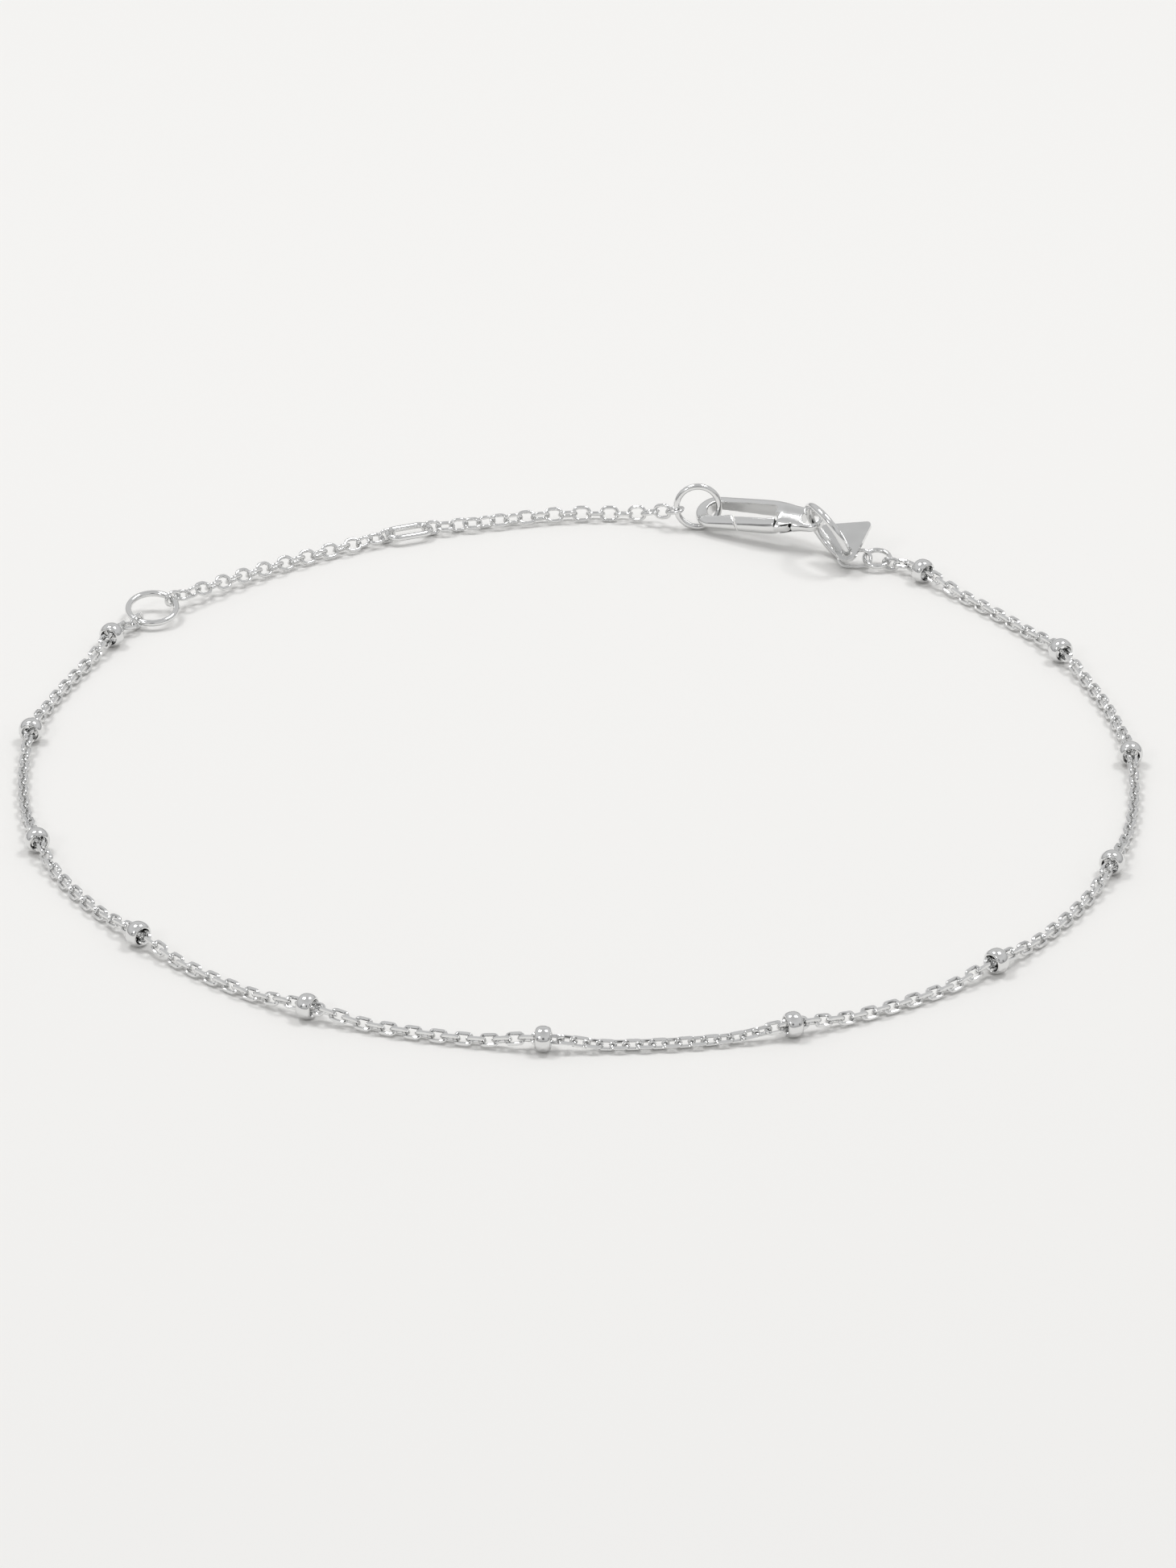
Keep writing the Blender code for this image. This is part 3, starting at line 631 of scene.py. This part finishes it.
def round_hull(centre_a, radius_a, centre_b, radius_b, steps):
    """Gives the outline of two circles with the straight sides that touch both."""
    a, b = Vector(centre_a), Vector(centre_b)
    apart = b - a
    heading = math.atan2(apart.y, apart.x)
    spread = math.acos((radius_a - radius_b) / apart.length)
    outline = []
    for centre, radius, start, sweep in (
            (b, radius_b, -spread, 2 * spread),
            (a, radius_a, spread, 2 * math.pi - 2 * spread)):
        for i in range(steps):
            turn = heading + start + sweep * i / (steps - 1)
            outline.append((centre.x + radius * math.cos(turn),
                            centre.y + radius * math.sin(turn)))
    return outline


def applied(obj):
    """Applies an object's modifiers."""
    depsgraph = bpy.context.evaluated_depsgraph_get()
    mesh = bpy.data.meshes.new_from_object(obj.evaluated_get(depsgraph))
    obj.modifiers.clear()
    obj.data = mesh


def boolean(obj, other, operation):
    """Joins, cuts or trims an object by another, which is used up."""
    modifier = obj.modifiers.new(operation.lower(), "BOOLEAN")
    modifier.operation = operation
    modifier.object = other
    modifier.solver = "EXACT"
    applied(obj)
    bpy.data.objects.remove(other, do_unlink=True)


def gate_outline(heel_x, inner_y, tip_x):
    """Gives the plan of the clasp's gate, open to the outside, with a slanted tip."""
    slant = TIP_SLANT * (GATE_CUT_Y - inner_y)
    return [(heel_x, inner_y), (tip_x, inner_y), (tip_x - slant, GATE_CUT_Y),
            (heel_x, GATE_CUT_Y)]


def soften(obj):
    """Rounds a solid's edges a little, as tumbling does."""
    remesh = obj.modifiers.new("remesh", "REMESH")
    remesh.mode = "VOXEL"
    remesh.voxel_size = CLASP_VOXEL
    smooth = obj.modifiers.new("smooth", "SMOOTH")
    smooth.iterations = CLASP_SMOOTHING
    smooth.factor = 0.5
    applied(obj)


def clasp_matrix():
    """Gives the clasp's place from its lever's joint."""
    joint = frame["record"]["behaviour"]["joints"][0]
    x = level(CLASP_YAW) * math.cos(CLASP_PITCH) - UP * math.sin(CLASP_PITCH)
    matrix = frame_at(Vector((0, 0, 0)), x, UP.cross(x))
    matrix = matrix @ Matrix.Rotation(-CLASP_ROLL, 4, "X")
    origin = Vector(joint["pos_m"]) - matrix @ Vector((*PIVOT, 0)) * MM
    return Matrix.Translation(origin) @ matrix @ Matrix.Scale(MM, 4)


def clasp_body_solid():
    """Makes the clasp's frame: hook, arm, forked shoulder with its pin, and tail eye."""
    deep = CLASP_NOSE_RADIUS
    body = clasp_blank("clasp_frame")
    eye = round_hull(EYE_THROAT[:2], EYE_THROAT[2], EYE_NOSE[:2], EYE_NOSE[2], ROUND_STEPS)
    inner_y = clasp_half_width(BLADE_TIP_X) - BLADE_WIDTH
    tip_x = BLADE_TIP_X + GATE_GAP + TIP_SLANT * (inner_y - GATE_DEPTH_Y)
    gate = gate_outline(GATE_HEEL_X, GATE_DEPTH_Y, tip_x)
    tail = circle((0, 0), TAIL_HOLE_RADIUS, ROUND_STEPS)
    for name, outline in (("eye", eye), ("gate", gate), ("tail_hole", tail)):
        boolean(body, prism(name, outline, deep), "DIFFERENCE")
    out = (PIVOT[0] + SLOT_RADIUS, PIVOT[1] + deep)
    slot = round_hull(PIVOT, SLOT_RADIUS, out, SLOT_RADIUS, ROUND_STEPS)
    boolean(body, prism("slot", slot, SLOT_HALF), "DIFFERENCE")
    pin = prism("pin", circle(PIVOT, PIN_RADIUS, ROUND_STEPS), PIN_HALF_LENGTH)
    boolean(body, pin, "UNION")
    return body


def lever_solid():
    """Makes the clasp's lever."""
    lever = clasp_blank("lever_frame")
    inner = []
    for i in range(BLADE_STEPS):
        x = BLADE_HEEL_X + (BLADE_TIP_X - BLADE_HEEL_X) * i / (BLADE_STEPS - 1)
        inner.append((x, clasp_half_width(x) - BLADE_WIDTH))
    outer = [(BLADE_TIP_X - TIP_SLANT * (GATE_CUT_Y - inner[-1][1]), GATE_CUT_Y),
             (BLADE_HEEL_X, GATE_CUT_Y)]
    boolean(lever, prism("blade", inner + outer, CLASP_NOSE_RADIUS), "INTERSECT")
    knuckle = round_hull(PIVOT, KNUCKLE_RADIUS, KNUCKLE_REACH, KNUCKLE_REACH_RADIUS,
                         ROUND_STEPS)
    boolean(lever, prism("knuckle", knuckle, KNUCKLE_THICKNESS / 2), "UNION")
    bore = circle(PIVOT, BORE_RADIUS, ROUND_STEPS)
    boolean(lever, prism("bore", bore, KNUCKLE_THICKNESS), "DIFFERENCE")
    return lever


def build_clasp():
    """Makes the clasp's frame and lever with softened edges."""
    matrix = clasp_matrix()
    for solid, node, body in ((clasp_body_solid(), "clasp_body", "anklet"),
                              (lever_solid(), "clasp_lever", "lever")):
        soften(solid)
        mesh = solid.data.copy()
        bpy.data.objects.remove(solid, do_unlink=True)
        mesh.transform(matrix)
        add_piece(node + "_soft", mesh, SILVER, body, [node], 50)


def finish_tag():
    """Gives the tag's CAD node soft edges and silver."""
    tag = frame["nodes"]["tag"]
    bevel = tag.modifiers.new("edges", "BEVEL")
    bevel.width = TAG_EDGE
    bevel.segments = 3
    bevel.limit_method = "ANGLE"
    bevel.angle_limit = math.radians(30)
    tag.data.materials.clear()
    tag.data.materials.append(SILVER)


# Surface, lights and camera

def floor_material():
    """Makes the pale surface with a faint unevenness."""
    material = bpy.data.materials.new("pale_surface")
    material.use_nodes = True
    tree = material.node_tree
    shader = tree.nodes["Principled BSDF"]
    noise = tree.nodes.new("ShaderNodeTexNoise")
    noise.inputs["Scale"].default_value = SURFACE_SCALE
    ramp = tree.nodes.new("ShaderNodeMapRange")
    ramp.inputs["To Min"].default_value = 0.97
    ramp.inputs["To Max"].default_value = 1.0
    tree.links.new(noise.outputs["Fac"], ramp.inputs["Value"])
    tint = tree.nodes.new("ShaderNodeMix")
    tint.data_type = "RGBA"
    tint.blend_type = "MULTIPLY"
    tint.inputs["Factor"].default_value = 1.0
    tint.inputs["A"].default_value = SURFACE_COLOR
    tree.links.new(ramp.outputs["Result"], tint.inputs["B"])
    tree.links.new(tint.outputs["Result"], shader.inputs["Base Color"])
    shader.inputs["Roughness"].default_value = 0.9
    shader.inputs["Specular IOR Level"].default_value = 0.1
    return material


def build_surface():
    """Lays the pale surface."""
    half = FLOOR_SIZE / 2
    mesh = bpy.data.meshes.new("surface")
    mesh.from_pydata([(-half, -half, 0), (half, -half, 0), (half, half, 0), (-half, half, 0)],
                     [], [(0, 1, 2, 3)])
    mesh.materials.append(floor_material())
    surface = bpy.data.objects.new("surface", mesh)
    bpy.context.scene.collection.objects.link(surface)


def add_area_light(name, place, size, power):
    """Adds one soft square light that faces the loop's middle."""
    light = bpy.data.lights.new(name, "AREA")
    light.shape = "SQUARE"
    light.size = size
    light.energy = power
    obj = bpy.data.objects.new(name, light)
    way = -Vector(place)
    obj.matrix_world = (Matrix.Translation(place)
                        @ way.to_track_quat("-Z", "Y").to_matrix().to_4x4())
    bpy.context.scene.collection.objects.link(obj)


def world_patch(tree, direction, towards, spread, edge, strength, value, below):
    """Lays one round patch of another brightness over the world's light."""
    dot = tree.nodes.new("ShaderNodeVectorMath")
    dot.operation = "DOT_PRODUCT"
    dot.inputs[1].default_value = Vector(towards).normalized()
    tree.links.new(direction, dot.inputs[0])
    mask = tree.nodes.new("ShaderNodeMapRange")
    mask.inputs["From Min"].default_value = math.cos(math.radians(spread + edge))
    mask.inputs["From Max"].default_value = math.cos(math.radians(spread))
    mask.inputs["To Max"].default_value = strength
    tree.links.new(dot.outputs["Value"], mask.inputs["Value"])
    mix = tree.nodes.new("ShaderNodeMix")
    mix.data_type = "RGBA"
    mix.inputs["B"].default_value = (value, value, value, 1.0)
    tree.links.new(mask.outputs["Result"], mix.inputs["Factor"])
    tree.links.new(below, mix.inputs["A"])
    return mix.outputs["Result"]


def build_lights():
    """Sets the studio's even light, its two soft lights above and its dark camera side."""
    world = bpy.data.worlds.new("studio")
    world.use_nodes = True
    tree = world.node_tree
    background = tree.nodes["Background"]
    coords = tree.nodes.new("ShaderNodeTexCoord")
    split = tree.nodes.new("ShaderNodeSeparateXYZ")
    ramp = tree.nodes.new("ShaderNodeValToRGB")
    direction = coords.outputs["Generated"]
    tree.links.new(direction, split.inputs["Vector"])
    tree.links.new(split.outputs["Z"], ramp.inputs["Fac"])
    elements = ramp.color_ramp.elements
    while len(elements) < len(WORLD_STOPS):
        elements.new(0.5)
    for element, (place, value) in zip(elements, WORLD_STOPS):
        element.position = place
        element.color = (value, value, value, 1.0)
    light = ramp.outputs["Color"]
    for patch in WORLD_PATCHES:
        light = world_patch(tree, direction, *patch, light)
    tree.links.new(light, background.inputs["Color"])
    background.inputs["Strength"].default_value = WORLD_STRENGTH
    bpy.context.scene.world = world
    for name, place, size, power in SOFT_LIGHTS:
        add_area_light(name, place, size, power)


def build_camera():
    """Puts the camera at the photo's angle and distance."""
    data = bpy.data.cameras.new("camera")
    data.lens = CAMERA_LENS
    data.sensor_width = 36
    data.clip_start = 0.01
    camera = bpy.data.objects.new("camera", data)
    way = Vector(CAMERA_TARGET) - Vector(CAMERA_PLACE)
    camera.matrix_world = (Matrix.Translation(CAMERA_PLACE)
                           @ way.to_track_quat("-Z", "Y").to_matrix().to_4x4())
    bpy.context.scene.collection.objects.link(camera)
    bpy.context.scene.camera = camera


build_fine_chain()
build_beads()
build_rings_and_links()
build_extension()
build_clasp()
finish_tag()
build_surface()
build_lights()
build_camera()
bpy.context.scene.view_settings.view_transform = "Standard"
